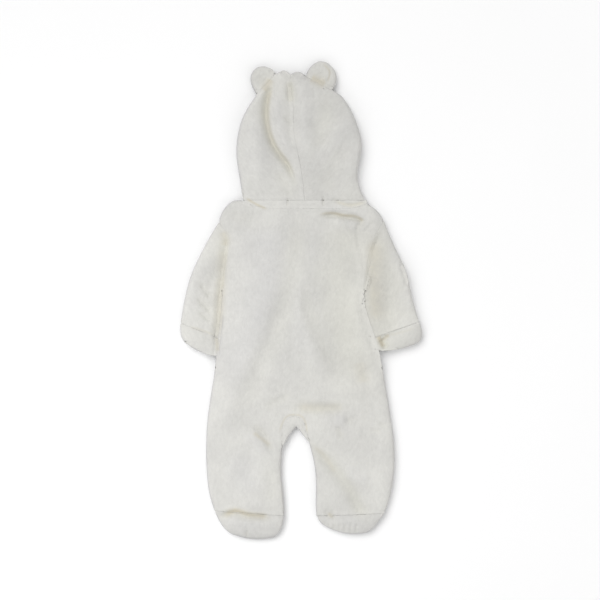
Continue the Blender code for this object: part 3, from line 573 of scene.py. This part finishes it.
# joins start with the sewn seams. The result is how much each vertex belongs to a seam.
def closeSeams(item, joins, level, groove, wider):  # the sides of a seam meet
    places, normals = meshArrays(item)
    top = outerOf[item.name]
    share, away = np.zeros(len(places)), np.full(len(places), np.inf)
    sewnAway = seamDistance(places[:, :2], joins[0][0])
    for edges, reach, blend in joins:
        distance = seamDistance(places[:, :2], edges, reach + wider + 1)
        share = np.maximum(share, softStep((reach + wider - distance) / blend))
        away = np.minimum(away, distance)
    target = fieldHeight(places[:, :2], level)
    target -= groove * np.exp(-(away / plush["grooveReach"]) ** 2)
    places[:, 2] += np.where(top, share * (target - places[:, 2]), 0)
    wall = ~top & (away < plush["wallReach"]) & (places[:, 2] > item["topFrom"])
    under = np.minimum(places[:, 2], target - plush["wallDrop"])
    places[:, 2] = np.where(wall, under, places[:, 2])
    rim = top & (away < plush["onSeam"])
    rimOf[item.name] = np.flatnonzero(rim & (sewnAway < plush["onSeam"]))
    places[:, :2] += sideways(normals)[1] * (plush["lap"] * rim)[:, None]
    places[:, 2] -= plush["lapDrop"] * rim
    setPlaces(item, places)
    fade = plush["seamFade"]
    closed = softStep((places[:, 1] - plush["closeFrom"]) / plush["closeLength"])
    return np.maximum(np.exp(-(sewnAway / fade) ** 2), closed * np.exp(-(away / fade) ** 2))


def meet(first, second):  # whether two sets of places may touch, seen from above
    reach = plush["near"]
    return ((first[:, :2].max(axis=0) > second[:, :2].min(axis=0) - reach).all()
            and (first[:, :2].min(axis=0) < second[:, :2].max(axis=0) + reach).all())


def stitch(names):  # each sewn rim ends just under its neighbour's face
    placesOf = {name: meshArrays(pieces[name])[0] for name in names}
    treeOf = {name: BVHTree.FromPolygons(
        placesOf[name].tolist(), [f.vertices[:] for f in pieces[name].data.polygons])
        for name in names}
    for name in names:
        places = placesOf[name].copy()
        trees = [treeOf[other] for other in names
                 if other != name and meet(placesOf[other], places)]
        for index in rimOf[name]:
            x, y, z = places[index]
            hits = [tree.ray_cast((x, y, plush["above"]), (0, 0, -1), plush["searchDown"])[0]
                    for tree in trees]
            tops = [hit.z for hit in hits
                    if hit is not None and abs(hit.z - z) < plush["sameLayer"]]
            if tops:
                places[index, 2] = max(tops) - plush["tuckUnder"]
        setPlaces(pieces[name], places)


# own are the piece's own folds, which fade out at its sewn seams. The others cross them.
def shape(item, groups, own, low, sewn):  # lays the folds and the pile's tufts on the piece, and stores its painted shade and light as attributes
    places, normals = meshArrays(item)
    outer = outerOf[item.name]
    xy = places[:, :2].copy()
    upward = softStep((normals[:, 2] - faceForm["foldFrom"]) / faceForm["foldBlend"])
    upward = np.maximum(upward, sewn**4) * outer
    height, hollow, ridge = foldSum(xy, groups)
    ownHeight, ownHollow, ownRidge = foldSum(xy, [own])
    height += ownHeight * (1 - sewn)
    hollow, ridge = np.maximum(hollow, ownHollow), np.maximum(ridge, ownRidge)
    soft = plush["softLump"] * layered(xy, noise["cloth"])
    tufts = plush["pileLump"] * layered(xy, noise["tufts"])
    lowest = np.minimum(places[:, 2], low)
    places[:, 2] = np.maximum(places[:, 2] + upward * (height + soft), lowest)
    shown = (normals[:, 2] > faceForm["shownFrom"]) & (places[:, 2] > faceForm["shownHeight"])
    across, outward = sideways(normals)
    side = softStep((across - faceForm["fringeFrom"]) / faceForm["fringeBlend"])
    side *= (1 - sewn**8) * shown
    places[:, :2] += outward * (plush["fringe"] * side)[:, None]
    least = faceForm["sideTufts"]
    places += normals * (tufts * shown * (least + (1 - least) * upward))[:, None]
    under = (normals[:, 2] < faceForm["underTo"]) & (places[:, 2] < faceForm["underHeight"])
    places[:, 2] += under * foldSum(xy, [underFolds])[0]
    places[:, 2] = np.maximum(places[:, 2], 0)
    setPlaces(item, places)
    # painted shade where the surface turns down at the outline, deeper where it faces left
    rim = 1 - softStep((normals[:, 2] - faceForm["rimShadeFrom"]) / faceForm["rimShadeBlend"])
    rim *= 1 - sewn**4
    rim *= faceForm["rimShadeMiddle"] - faceForm["rimShadeLean"] * normals[:, 0]
    # painted shade in the hollows as a warmer tint, painted light on ridges and the rim as a
    # cooler one
    paintedFoldTone = (paintedLightTones["hollow"] * hollow - paintedLightTones["ridge"] * ridge) * upward
    addAttribute(item, "warmToneAndShade", np.clip(plush["warmth"] + paintedFoldTone - paintedLightTones["rim"] * rim, 0, 1))
    addAttribute(item, "rim", rim)
    # painted shade along the creases
    creaseShade = np.zeros(len(xy))
    for crease in creaseShadePaths.values():
        creaseShade = np.maximum(creaseShade, crease["height"] * foldShape(xy, crease))
    addAttribute(item, "creaseShade", creaseShade * outer)
    # painted light and shade in patches, paler or darker
    patchLightShade = sum(patch["height"] * foldShape(xy, patch) for patch in lightShadePatches.values())
    addAttribute(item, "patchLightShade", patchLightShade * outer)


def newGroup(name, inputs, outputs):
    group = bpy.data.node_groups.new(name, "ShaderNodeTree")
    for label, kind, value in inputs:
        socket = group.interface.new_socket(label, in_out="INPUT", socket_type=kind)
        if value is not None:
            socket.default_value = value
    for label, kind in outputs:
        group.interface.new_socket(label, in_out="OUTPUT", socket_type=kind)
    return group, group.nodes.new("NodeGroupInput"), group.nodes.new("NodeGroupOutput")


def node(tree, kind, inputs=None, **settings):
    made = tree.nodes.new(kind)
    for key, value in settings.items():
        setattr(made, key, value)
    for key, value in (inputs or {}).items():
        if isinstance(value, bpy.types.NodeSocket):
            tree.links.new(value, made.inputs[key])
        else:
            made.inputs[key].default_value = value
    return made


def math2(tree, operation, first, second):
    return node(tree, "ShaderNodeMath", {0: first, 1: second}, operation=operation).outputs[0]


def mixTints(tree, share, first, second):  # sockets 6, 7 and 2 of a Mix are its colours
    return node(tree, "ShaderNodeMix", {0: share, 6: first, 7: second},
                data_type="RGBA").outputs[2]


def attribute(tree, name):
    return node(tree, "ShaderNodeAttribute", attribute_name=name).outputs["Fac"]


def newMaterial(name):
    material = bpy.data.materials.new(name)
    material.use_nodes = True
    tree = material.node_tree
    place = node(tree, "ShaderNodeTexCoord").outputs["Object"]
    return material, tree, tree.nodes["Principled BSDF"], place


combed = {
    "strands": 520.0,  # scale of the single strands, of the tufts and of the patches
    "clumps": 190.0,
    "patches": 17.0,
    "strandShare": 0.35,  # of the pile's height
    "clumpShare": 0.65,
    "heightShare": 0.5,  # of the pile's tone
    "patchShare": 0.5,
}


def makePileGroup():  # combed tufts: Shade is a mask round 0.5, Height feeds a Bump
    group, start, end = newGroup(
        "combedPile",
        [("Vector", "NodeSocketVector", None), ("Nap Angle", "NodeSocketFloat", 0.0),
         ("Tuft Length", "NodeSocketFloat", 3.0)],
        [("Shade", "NodeSocketFloat"), ("Height", "NodeSocketFloat"),
         ("Patches", "NodeSocketFloat")])
    turn = node(group, "ShaderNodeVectorRotate", {"Vector": start.outputs["Vector"],
                "Angle": start.outputs["Nap Angle"]}, rotation_type="Z_AXIS")
    longWay = math2(group, "DIVIDE", 1.0, start.outputs["Tuft Length"])
    squeeze = node(group, "ShaderNodeCombineXYZ", {"X": 1.0, "Y": longWay, "Z": 1.0})
    along = node(group, "ShaderNodeVectorMath", {0: turn.outputs[0], 1: squeeze.outputs[0]},
                 operation="MULTIPLY").outputs[0]
    strands = node(group, "ShaderNodeTexNoise", {"Vector": along, "Scale": combed["strands"],
                   "Detail": 3.0, "Roughness": 0.6})
    clumps = node(group, "ShaderNodeTexNoise", {"Vector": along, "Scale": combed["clumps"],
                  "Detail": 2.0, "Roughness": 0.5, "Distortion": 0.4})
    patches = node(group, "ShaderNodeTexNoise", {"Vector": start.outputs["Vector"],
                   "Scale": combed["patches"], "Detail": 2.0})
    fine = math2(group, "MULTIPLY", strands.outputs["Fac"], combed["strandShare"])
    middle = math2(group, "MULTIPLY", clumps.outputs["Fac"], combed["clumpShare"])
    height = math2(group, "ADD", fine, middle)
    slow = math2(group, "MULTIPLY", patches.outputs["Fac"], combed["patchShare"])
    shade = math2(group, "ADD", math2(group, "MULTIPLY", height, combed["heightShare"]), slow)
    group.links.new(shade, end.inputs["Shade"])
    group.links.new(height, end.inputs["Height"])
    group.links.new(patches.outputs["Fac"], end.inputs["Patches"])
    return group


finish = {
    "neutral": (1.0, 0.99, 0.986),  # cool end of the pile's tint; ridges and edges are pushed toward it as painted light
    "warmToneAndShade": (0.975, 0.966, 0.862),  # warm end of the pile's tint: partly the pile's own cream, and painted shade in the hollows
    "creaseShade": (0.88, 0.82, 0.67),  # tint of the painted shade along creases
    "creaseShadeGain": 2.4,  # how strongly the tufts break up that tint, and where they start to
    "creaseShadeStart": -0.2,
    "rimShadeTone": 0.86,  # painted shade: how much darker the pile is painted where it turns down at the outline
    "shade": 0.08,  # unevenness of the tufts' tone
    "shadeLow": 0.36,  # the group's Shade, from the darkest tufts to the palest
    "shadeHigh": 0.64,
    "patches": 0.22,  # unevenness of the warmth
    "tuftLength": 1.7,
    "bump": 0.9,  # mm
    "bumpStrength": 0.9,
}
surface = {"Roughness": 0.95, "Specular IOR Level": 0.15, "Sheen Weight": 0.12,
           "Sheen Roughness": 0.5}
finishes = {  # tone, nap in degrees and added warmth of each piece's plush; the right hood's tone is painted darker and the left sleeve's lighter than the body's, as painted shade and light from the left
    "body": (0.595, 4, 0.0), "leftHood": (0.595, -32, 0.0), "rightHood": (0.57, 30, 0.0),
    "band": (0.61, 90, 0.0), "leftSleeve": (0.62, -24, 0.05), "rightSleeve": (0.595, 22, 0.1),
    "foot": (0.575, 8, -0.05), "ear": (0.58, 14, 0.05), "earInner": (0.54, 14, 0.2),
}
pileGroup = makePileGroup()


def tint(name, tone):
    return (*(tone * part for part in finish[name]), 1.0)


def plushMaterial(name, tone, napAngle, warmer):
    material, tree, shader, place = newMaterial(name)
    pile = node(tree, "ShaderNodeGroup", node_tree=pileGroup)
    tree.links.new(place, pile.inputs["Vector"])
    pile.inputs["Nap Angle"].default_value = math.radians(napAngle)
    pile.inputs["Tuft Length"].default_value = finish["tuftLength"]
    patchy = math2(tree, "MULTIPLY", pile.outputs["Patches"], finish["patches"])
    warmth = math2(tree, "ADD", math2(tree, "ADD", attribute(tree, "warmToneAndShade"), patchy),
                   warmer - finish["patches"] / 2)
    # the pile's own cream, mixed with the painted warm shade of the hollows and the cooler
    # painted light on ridges and rims
    tintWithFoldShade = mixTints(tree, warmth, tint("neutral", tone), tint("warmToneAndShade", tone))
    tufted = math2(tree, "ADD", math2(tree, "MULTIPLY", pile.outputs["Shade"],
                                      finish["creaseShadeGain"]), finish["creaseShadeStart"])
    # the painted crease shade, broken up by the tufts
    creaseShade = math2(tree, "MULTIPLY", attribute(tree, "creaseShade"), tufted)
    whole = mixTints(tree, creaseShade, tintWithFoldShade, tint("creaseShade", tone))
    spread = node(tree, "ShaderNodeMapRange", {
        "Value": pile.outputs["Shade"], "From Min": finish["shadeLow"],
        "From Max": finish["shadeHigh"], "To Min": 1 - finish["shade"],
        "To Max": 1 + finish["shade"]})
    # painted shade at the outline, from the rim attribute
    edge = node(tree, "ShaderNodeMapRange", {"Value": attribute(tree, "rim"), "To Min": 1.0,
                "To Max": finish["rimShadeTone"]})
    tuftToneAndRimShade = math2(tree, "MULTIPLY", spread.outputs[0], edge.outputs[0])
    # painted light and shade in patches
    patchLightShade = math2(tree, "ADD", attribute(tree, "patchLightShade"), 1.0)
    toned = node(tree, "ShaderNodeVectorMath", {
        0: whole, "Scale": math2(tree, "MULTIPLY", tuftToneAndRimShade, patchLightShade)}, operation="SCALE")
    bump = node(tree, "ShaderNodeBump", {
        "Height": pile.outputs["Height"], "Strength": finish["bumpStrength"],
        "Distance": finish["bump"] * mm})
    tree.links.new(toned.outputs[0], shader.inputs["Base Color"])
    tree.links.new(bump.outputs["Normal"], shader.inputs["Normal"])
    for label, value in surface.items():
        shader.inputs[label].default_value = value
    return material


materials = {label: plushMaterial("plush" + label[0].upper() + label[1:], *row)
             for label, row in finishes.items()}
print("materials made")


pieceTable = {  # the solid it stands for, its plush and its slot
    "backPanel": ("back", "body", "plush_body"),
    "frontPanelLeft": ("front_left", "body", "plush_body"),
    "frontPanelRight": ("front_right", "body", "plush_body"),
    "sleeveLeft": ("sleeve_left", "leftSleeve", "plush_sleeve"),
    "sleeveRight": ("sleeve_right", "rightSleeve", "plush_sleeve"),
    "cuffLeft": ("cuff_left", "leftSleeve", "plush_sleeve"),
    "cuffRight": ("cuff_right", "rightSleeve", "plush_sleeve"),
    "hoodLeft": ("hood_left", "leftHood", "plush_hood"),
    "hoodRight": ("hood_right", "rightHood", "plush_hood"),
    "neckBand": ("neck_band", "band", "plush_band"),
    "crotchGusset": ("gusset", "body", "plush_body"),
    "footLeft": ("foot_left", "foot", "plush_foot"),
    "footRight": ("foot_right", "foot", "plush_foot"),
    "earLeftBack": ("ear_left_outer", "ear", "plush_ear"),
    "earLeftFront": ("ear_left_inner", "earInner", "plush_ear"),
    "earRightBack": ("ear_right_outer", "ear", "plush_ear"),
    "earRightFront": ("ear_right_inner", "earInner", "plush_ear"),
}
upper = {  # longest edge and lowest place in mm of the upper face, where a piece has one
    "backPanel": (3.2, 9.6), "sleeveLeft": (2.0, 8.6), "sleeveRight": (2.0, 8.6),
    "cuffLeft": (1.8, 8.6), "cuffRight": (1.8, 8.6), "hoodLeft": (1.9, 9.4),
    "hoodRight": (1.9, 9.4), "neckBand": (1.6, 9.0), "crotchGusset": (1.8, 9.0),
    "footLeft": (1.9, 9.0), "footRight": (1.9, 9.0), "earLeftBack": (1.6, 9.0),
    "earRightBack": (1.6, 9.0),
}
shared = [hoodFolds, neckFolds, shoulderFolds, bodyFolds, footFolds, earFolds]
ownFolds = {"sleeveLeft": leftSleeveFolds, "sleeveRight": rightSleeveFolds}
grooves = {"hoodLeft": 0.4, "hoodRight": 0.4, "neckBand": 0.2}  # mm, the others are as in plush
levelledBeyond = {"neckBand": 5.0}  # mm more than the others
sleeveRest = {  # how a sleeve's upper face lies beside the back: height there in mm, and slope
    "sleeveLeft": {"meet": 14.2, "rise": 0.08, "reach": 30, "blend": 14},
    "sleeveRight": {"meet": 20.5, "rise": -0.23, "reach": 44, "blend": 14},
}
for table in (ownFolds, sleeveRest):  # the cuffs follow their sleeves
    for side in ("Left", "Right"):
        table["cuff" + side] = table["sleeve" + side]

pieces, outerOf, rimOf = {}, {}, {}  # the objects, and their upper vertices and sewn rims
for name, (solid, plushOf, slot) in pieceTable.items():
    piece = mergedCopy(solid, name)
    piece["topFrom"] = plush["sleeveTopFrom" if slot == "plush_sleeve" else "topFrom"]
    subdivide(piece, plush["levels" if name in upper else "hiddenLevels"])
    if name in upper:
        calm(piece)
        refine(piece, upper[name][0])
    pieces[name] = piece
    outerOf[name] = outerVertices(piece)
seamsOf = {name: sewnEdges(pieces[name]) for name in upper}
others = np.concatenate([edges for name, edges in seamsOf.items() if name != "backPanel"])
middles = seamsOf["backPanel"].mean(axis=1)
loose = seamDistance(middles, others) > plush["looseFrom"]
loose &= np.abs(middles[:, 1] - plush["looseMiddle"]) < plush["looseHalf"]
sides = seamsOf["backPanel"][loose]  # where a sleeve lies against the back's side, unsewn
seams = np.concatenate([others, seamsOf["backPanel"][~loose]])
joins = [(seams, plush["seamReach"], plush["seamBlend"]),
         (sides[sides[:, 0, 0] < 0], plush["leftReach"], plush["leftBlend"]),
         (sides[sides[:, 0, 0] > 0], plush["rightReach"], plush["rightBlend"])]
for name, row in sleeveRest.items():
    fillBeside(pieces[name], seamsOf["backPanel"], row)
level = levelField([pieces[name] for name in upper if name != "neckBand"], joins)
print("seam edges:", len(seams), "unsewn:", len(sides))

for name, piece in pieces.items():
    if name in upper:
        sewn = closeSeams(piece, joins, level, grooves.get(name, plush["groove"]),
                          levelledBeyond.get(name, 0.0))
        shape(piece, shared, ownFolds.get(name, {}), upper[name][1], sewn)
    else:
        shape(piece, [], {}, 0, 0.0)
stitch(upper)
print("seams closed")

for name, (solid, plushOf, slot) in pieceTable.items():
    piece = pieces[name]
    piece.data.materials.clear()
    piece.data.materials.append(materials[plushOf])
    selectOnly(piece)
    bpy.ops.object.shade_smooth_by_angle(angle=math.radians(plush["smoothAngle"]))
    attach(piece, "root")
    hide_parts(solid)
    print(name, len(piece.data.polygons), "faces")


popper = {  # lengths in mm
    "rim": 0.8, "dish": 0.35, "dishRing": 0.9, "buttonRing": 1.3, "bevel": 0.12,
    "buttonShare": 0.5,  # how far the button comes back out of the dish
    "sides": 32, "bevelSteps": 2, "smoothAngle": 35,
}


def pushIn(thickness, height):  # insets the chosen face, then moves it up
    bpy.ops.mesh.inset(thickness=thickness * mm)
    bpy.ops.mesh.extrude_region_move(TRANSFORM_OT_translate={"value": (0, 0, height * mm)})


def makePopper():  # the outer cap of a press stud, dished, with a button in the middle
    low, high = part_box("popper_1")
    bpy.ops.object.select_all(action="DESELECT")
    bpy.ops.mesh.primitive_cylinder_add(
        vertices=popper["sides"], radius=(high.x - low.x) / 2, depth=high.z - low.z,
        location=(low + high) / 2)
    cap = bpy.context.object
    cap.name = "pressStud1"
    bpy.ops.object.transform_apply(location=True)
    bpy.ops.object.mode_set(mode="EDIT")
    mesh = bmesh.from_edit_mesh(cap.data)
    bpy.ops.mesh.select_all(action="DESELECT")
    for face in mesh.faces:
        face.select = face.normal.z < faceForm["underTo"]
    bmesh.update_edit_mesh(cap.data)
    pushIn(popper["rim"], popper["dish"])
    bpy.ops.mesh.inset(thickness=popper["dishRing"] * mm)
    pushIn(popper["buttonRing"], -popper["buttonShare"] * popper["dish"])
    bpy.ops.object.mode_set(mode="OBJECT")
    edges = cap.modifiers.new("edges", "BEVEL")
    edges.width = popper["bevel"] * mm
    edges.segments = popper["bevelSteps"]
    edges.limit_method = "ANGLE"
    selectOnly(cap)
    bpy.ops.object.modifier_apply(modifier=edges.name)
    bpy.ops.object.shade_smooth_by_angle(angle=math.radians(popper["smoothAngle"]))
    return cap


def copyPopper(cap, number):
    low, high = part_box("popper_1")
    newLow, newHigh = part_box(f"popper_{number}")
    copy = bpy.data.objects.new(f"pressStud{number}", cap.data.copy())
    copy.data.transform(Matrix.Translation((newLow + newHigh - low - high) / 2))
    bpy.context.scene.collection.objects.link(copy)
    return copy


def popperMaterial():
    material, tree, shader, place = newMaterial("popperWhite")
    grain = node(tree, "ShaderNodeTexNoise", {"Vector": place, "Scale": 900.0, "Detail": 2.0})
    tone = node(tree, "ShaderNodeValToRGB", {"Fac": grain.outputs["Fac"]})
    tone.color_ramp.elements[0].color = (0.70, 0.69, 0.65, 1.0)
    tone.color_ramp.elements[1].color = (0.78, 0.77, 0.74, 1.0)
    rough = node(tree, "ShaderNodeMapRange", {"Value": grain.outputs["Fac"], "To Min": 0.32,
                 "To Max": 0.5})
    bump = node(tree, "ShaderNodeBump", {"Height": grain.outputs["Fac"], "Strength": 0.15,
                "Distance": 0.05 * mm})
    tree.links.new(tone.outputs["Color"], shader.inputs["Base Color"])
    tree.links.new(rough.outputs[0], shader.inputs["Roughness"])
    tree.links.new(bump.outputs["Normal"], shader.inputs["Normal"])
    return material


studFinish = popperMaterial()
cap = makePopper()
popperCount = sum(name.startswith("popper_") for name in nodes)
for number in range(1, popperCount + 1):
    stud = cap if number == 1 else copyPopper(cap, number)
    stud.data.materials.clear()
    stud.data.materials.append(studFinish)
    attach(stud, "root")
    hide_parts(f"popper_{number}")
print("press studs made")


stage = {  # lengths in m
    "size": 6.0, "drop": 0.0002, "floor": (0.89, 0.91), "world": 0.64,
    "lens": 85.0,  # mm
    "width": 1.08, "aim": (-0.0022, 0.0004),  # of what the camera sees at the suit's height
}
suns = {  # place, width in degrees and strength of soft lights, the same all over the floor
    "keyLight": ((-1.1, 1.3, 2.0), 42, 1.42),
    "fillLight": ((1.5, -1.5, 1.0), 60, 0.58),
}
lowLight = {"place": (-0.5, -0.3, 0.6), "towards": (0.42, 0.2, -0.6), "energy": 1.0, "size": 0.4}


def makeFloor():
    bpy.ops.object.select_all(action="DESELECT")
    bpy.ops.mesh.primitive_plane_add(size=stage["size"], location=(0, 0, -stage["drop"]))
    floor = bpy.context.object
    floor.name = "floor"
    bpy.ops.object.transform_apply(location=True)
    material, tree, shader, place = newMaterial("paleFloor")
    grain = node(tree, "ShaderNodeTexNoise", {"Vector": place, "Scale": 3.0})
    low, high = stage["floor"]
    tone = node(tree, "ShaderNodeMapRange", {"Value": grain.outputs["Fac"], "To Min": low,
                "To Max": high})
    tree.links.new(tone.outputs[0], shader.inputs["Base Color"])
    shader.inputs["Roughness"].default_value = 1.0
    shader.inputs["Specular IOR Level"].default_value = 0.0
    floor.data.materials.append(material)


def hang(light, place, towards):
    lamp = bpy.data.objects.new(light.name, light)
    bpy.context.scene.collection.objects.link(lamp)
    lamp.location = place
    lamp.rotation_euler = Vector(towards).to_track_quat("-Z", "Y").to_euler()


def makeStage():
    makeFloor()
    scene = bpy.context.scene
    world = bpy.data.worlds.new("studio")
    scene.world = world
    world.use_nodes = True
    sky = world.node_tree.nodes["Background"].inputs
    sky["Color"].default_value = (1, 1, 1, 1)
    sky["Strength"].default_value = stage["world"]
    for name, (place, spread, strength) in suns.items():
        light = bpy.data.lights.new(name, "SUN")
        light.energy = strength
        light.angle = math.radians(spread)
        hang(light, place, -Vector(place))
    low = bpy.data.lights.new("lowLight", "AREA")  # lifts the legs and the left side a little
    low.energy, low.size = lowLight["energy"], lowLight["size"]
    hang(low, lowLight["place"], lowLight["towards"])
    scene.view_settings.view_transform = "Standard"
    camera = bpy.data.cameras.new("camera")
    camera.lens = stage["lens"]
    eye = bpy.data.objects.new("camera", camera)
    scene.collection.objects.link(eye)
    distance = stage["width"] * camera.lens / camera.sensor_width
    eye.location = (*stage["aim"], distance + cadHigh.z / 2)
    scene.camera = eye


makeStage()
